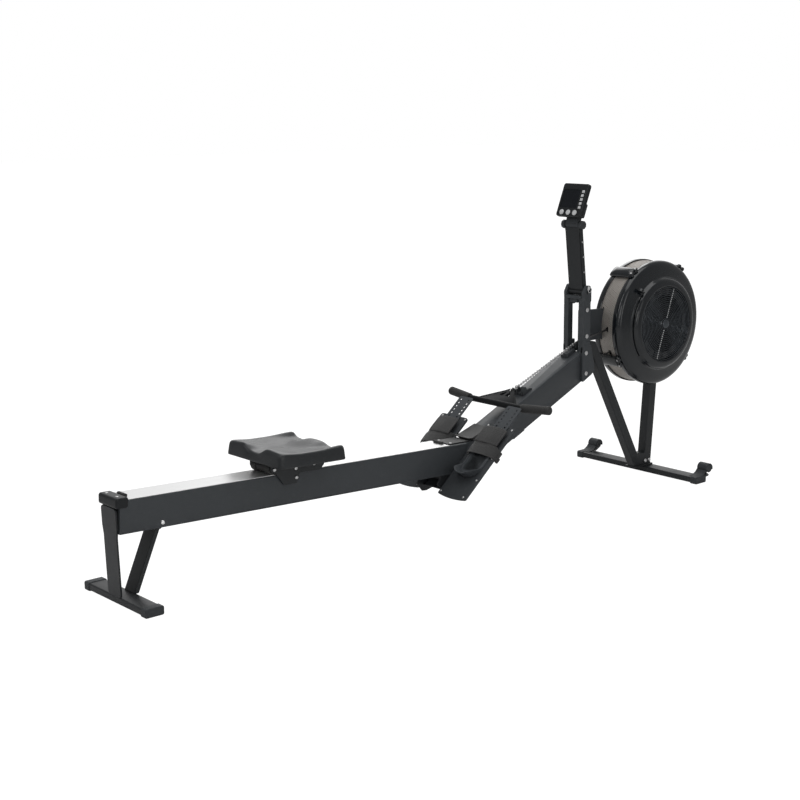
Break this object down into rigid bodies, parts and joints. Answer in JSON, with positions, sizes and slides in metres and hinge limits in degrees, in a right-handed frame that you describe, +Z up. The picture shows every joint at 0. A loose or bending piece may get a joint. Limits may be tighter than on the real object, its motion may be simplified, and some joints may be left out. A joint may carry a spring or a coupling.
{
  "type": "rowing machine",
  "caption": "Air rowing machine: sliding seat on a long rail, footrests with straps, pull handle on a chain to a caged flywheel, monitor on a folding arm.",
  "frame": {"origin": "On the floor, at the middle of the machine's footprint box; Y=0 is the middle of the rail", "axes": "+X towards the flywheel, the way the rower faces; +Y to the rower's left; +Z up"},
  "size_m": [2.6448, 0.61, 1.1422],
  "materials": {
    "charcoal_paint": "satin dark grey powder coat",
    "black_paint": "satin black powder coat",
    "grey_plastic": "mid grey moulded cover",
    "black_plastic": "smooth black plastic",
    "dark_plastic": "matt black plastic",
    "steel": "brushed stainless steel",
    "zinc": "plain zinc-plated steel",
    "mesh": "perforated steel, warm grey",
    "aluminium": "cast aluminium",
    "cast": "dark cast metal",
    "rubber": "black rubber",
    "strap": "black woven webbing",
    "cord": "woven elastic cord",
    "screen": "dark display window",
    "key": "pale grey key",
    "pad": "moulded black plastic seat shell"
  },
  "bodies": {
    "frame": {"rear_foot_bar": "charcoal_paint", "front_foot_bar": "black_paint", "foot_end_caps": "black_plastic", "rear_upright": "charcoal_paint", "rear_brace": "charcoal_paint", "rail_beam": "charcoal_paint", "rail_track": "steel", "rail_end_cap": "black_plastic", "seat_stops": "rubber", "joint_cover_plate": "grey_plastic", "main_beam": "charcoal_paint", "post_side_plates": "charcoal_paint", "chain_guide": "black_plastic", "flywheel_plate": "charcoal_paint", "axle_bearings": "zinc", "front_leg": "black_paint", "rear_leg": "black_paint", "frame_bolts": "zinc", "cage_left_cover": "black_plastic", "cage_band": "mesh", "cage_right_cover": "black_plastic", "cage_clamps": "black_plastic", "intake_grille": "black_plastic", "chain_pull": "steel", "chain_inner": "steel", "bungee_cord": "cord", "footboards": "dark_plastic", "footboard_bracket": "black_paint", "foot_straps": "strap", "handle_rest": "black_plastic"},
    "seat": {"seat_pad": "pad", "seat_carriage": "black_paint"},
    "roller_rear": {"seat_roller_rear": "dark_plastic"},
    "roller_front": {"seat_roller_front": "dark_plastic"},
    "handle": {"handle_bar": "black_paint", "handle_grips": "rubber", "chain_swivel": "steel"},
    "flywheel": {"flywheel": "cast", "axle_shaft": "zinc"},
    "sprocket": {"sprocket": "zinc"},
    "guide_roller": {"guide_roller": "dark_plastic"},
    "damper": {"damper": "dark_plastic"},
    "heel_left": {"heel_plate_left": "dark_plastic"},
    "heel_right": {"heel_plate_right": "dark_plastic"},
    "wheel_left": {"transport_wheel_left": "dark_plastic"},
    "wheel_right": {"transport_wheel_right": "dark_plastic"},
    "arm": {"monitor_arm": "charcoal_paint"},
    "lock_pin": {"lock_pin": "zinc"},
    "knobs": {"pivot_knobs": "dark_plastic"},
    "monitor": {"monitor_case": "dark_plastic", "monitor_back": "dark_plastic", "monitor_screen": "screen"},
    "button_1": {"round_button_1": "key"},
    "button_2": {"round_button_2": "key"},
    "button_3": {"round_button_3": "key"},
    "key_1": {"side_key_1": "key"},
    "key_2": {"side_key_2": "key"},
    "key_3": {"side_key_3": "key"},
    "key_4": {"side_key_4": "key"},
    "key_5": {"side_key_5": "key"}
  },
  "joints": [
    {"name": "seat_slide", "type": "slide", "parent": "frame", "child": "seat", "axis": [0.9993, 0, -0.0361], "range_m": [-0.43, 0.54]},
    {"name": "seat_roller_rear_spin", "type": "hinge", "parent": "seat", "child": "roller_rear", "pos_m": [-0.76432, 0, 0.32263], "axis": [0, 1, 0], "continuous": true},
    {"name": "seat_roller_front_spin", "type": "hinge", "parent": "seat", "child": "roller_front", "pos_m": [-0.60942, 0, 0.31704], "axis": [0, 1, 0], "continuous": true},
    {"name": "handle_pull", "type": "slide", "parent": "frame", "child": "handle", "axis": [-0.9336, 0, 0.3584], "range_m": [0, 1.15], "deforming": ["chain_pull"]},
    {"name": "sprocket_spin", "type": "hinge", "parent": "frame", "child": "sprocket", "pos_m": [1.0814, 0, 0.59], "axis": [0, 1, 0], "continuous": true},
    {"name": "guide_roller_spin", "type": "hinge", "parent": "frame", "child": "guide_roller", "pos_m": [0.6814, 0, 0.5384], "axis": [0, 1, 0], "continuous": true},
    {"name": "flywheel_spin", "type": "hinge", "parent": "frame", "child": "flywheel", "pos_m": [1.0814, 0, 0.59], "axis": [0, 1, 0], "continuous": true},
    {"name": "damper_turn", "type": "hinge", "parent": "frame", "child": "damper", "pos_m": [1.0814, 0, 0.59], "axis": [0, 1, 0], "range_deg": [-80, 0]},
    {"name": "arm_fold", "type": "hinge", "parent": "frame", "child": "arm", "pos_m": [0.6774, 0, 0.744], "axis": [0, -1, 0], "range_deg": [0, 85]},
    {"name": "lock_pin_turn", "type": "hinge", "parent": "frame", "child": "lock_pin", "pos_m": [0.6785, -0.05, 0.76103], "axis": [0, 1, 0], "range_deg": [-90, 90]},
    {"name": "monitor_tilt", "type": "hinge", "parent": "arm", "child": "monitor", "pos_m": [0.64935, 0, 0.99403], "axis": [0, 1, 0], "range_deg": [-25, 40]},
    {"name": "knob_turn", "type": "hinge", "parent": "arm", "child": "knobs", "pos_m": [0.64935, 0, 0.99403], "axis": [0, 1, 0], "range_deg": [-180, 180]},
    {"name": "round_button_1_press", "type": "slide", "parent": "monitor", "child": "button_1", "axis": [0.9272, 0, -0.3746], "range_m": [0, 0.0015], "stiffness_N_per_m": 400},
    {"name": "round_button_2_press", "type": "slide", "parent": "monitor", "child": "button_2", "axis": [0.9272, 0, -0.3746], "range_m": [0, 0.0015], "stiffness_N_per_m": 400},
    {"name": "round_button_3_press", "type": "slide", "parent": "monitor", "child": "button_3", "axis": [0.9272, 0, -0.3746], "range_m": [0, 0.0015], "stiffness_N_per_m": 400},
    {"name": "side_key_1_press", "type": "slide", "parent": "monitor", "child": "key_1", "axis": [0.9272, 0, -0.3746], "range_m": [0, 0.001], "stiffness_N_per_m": 400},
    {"name": "side_key_2_press", "type": "slide", "parent": "monitor", "child": "key_2", "axis": [0.9272, 0, -0.3746], "range_m": [0, 0.001], "stiffness_N_per_m": 400},
    {"name": "side_key_3_press", "type": "slide", "parent": "monitor", "child": "key_3", "axis": [0.9272, 0, -0.3746], "range_m": [0, 0.001], "stiffness_N_per_m": 400},
    {"name": "side_key_4_press", "type": "slide", "parent": "monitor", "child": "key_4", "axis": [0.9272, 0, -0.3746], "range_m": [0, 0.001], "stiffness_N_per_m": 400},
    {"name": "side_key_5_press", "type": "slide", "parent": "monitor", "child": "key_5", "axis": [0.9272, 0, -0.3746], "range_m": [0, 0.001], "stiffness_N_per_m": 400},
    {"name": "heel_plate_left_slide", "type": "slide", "parent": "frame", "child": "heel_left", "axis": [0.757, 0, 0.6534], "range_m": [-0.0468, 0]},
    {"name": "heel_plate_right_slide", "type": "slide", "parent": "frame", "child": "heel_right", "axis": [0.757, 0, 0.6534], "range_m": [-0.0468, 0]},
    {"name": "wheel_left_spin", "type": "hinge", "parent": "frame", "child": "wheel_left", "pos_m": [1.1064, 0.28, 0.049], "axis": [0, 1, 0], "continuous": true},
    {"name": "wheel_right_spin", "type": "hinge", "parent": "frame", "child": "wheel_right", "pos_m": [1.1064, -0.28, 0.049], "axis": [0, 1, 0], "continuous": true}
  ],
  "couplings": [
    {"joint": "seat_roller_rear_spin", "follows": "seat_slide", "rad_per_m": 56.022},
    {"joint": "seat_roller_front_spin", "follows": "seat_slide", "rad_per_m": 56.022},
    {"joint": "sprocket_spin", "follows": "handle_pull", "rad_per_m": -31.847},
    {"joint": "guide_roller_spin", "follows": "handle_pull", "rad_per_m": -57.803}
  ]
}
